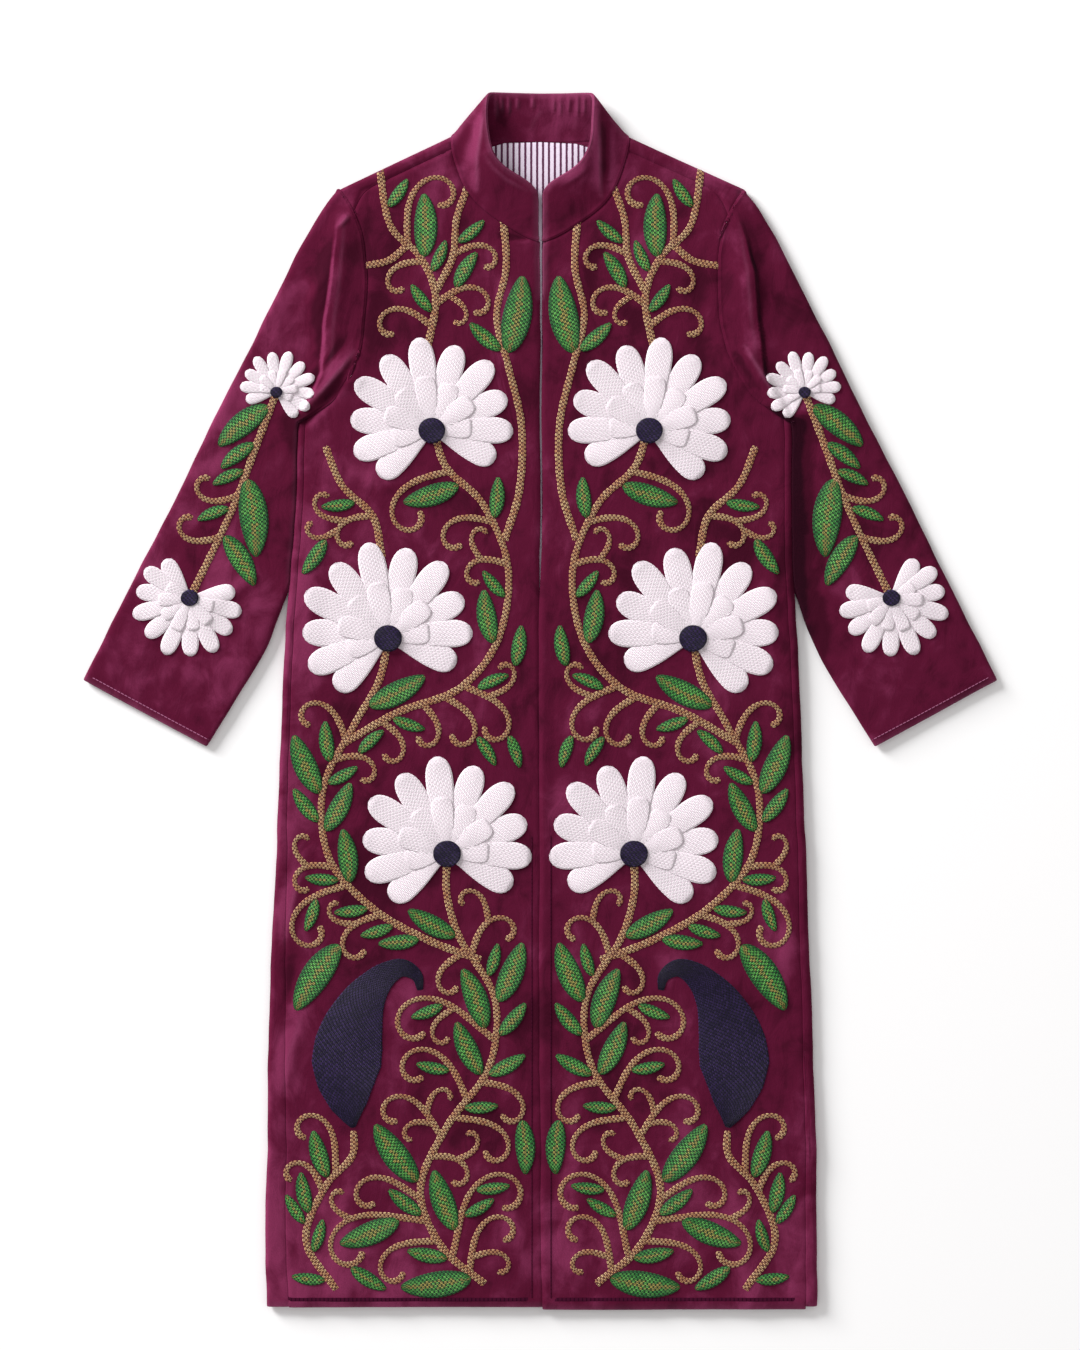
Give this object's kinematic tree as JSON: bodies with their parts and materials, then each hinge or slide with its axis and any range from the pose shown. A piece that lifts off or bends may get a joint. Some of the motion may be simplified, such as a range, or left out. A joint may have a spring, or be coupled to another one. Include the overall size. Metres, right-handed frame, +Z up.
{
  "type": "coat",
  "caption": "Long open-front velvet coat with a stand collar and straight set-in sleeves, laid flat on its back, embroidered all over the front.",
  "frame": {"origin": "on the surface that the coat lies on, under the middle of its box", "axes": "+Z up from that surface, +Y from hem to collar, +X to the right of someone looking down on the coat's front"},
  "size_m": [0.9598, 1.2769, 0.025],
  "materials": {
    "velvet": "matte cotton velvet with a short pile",
    "lining": "smooth striped cotton"
  },
  "bodies": {
    "root": {"back": "velvet", "front_left": "velvet", "front_right": "velvet", "sleeve_left": "velvet", "sleeve_right": "velvet", "collar": "velvet", "back_lining": "lining"}
  },
  "joints": []
}
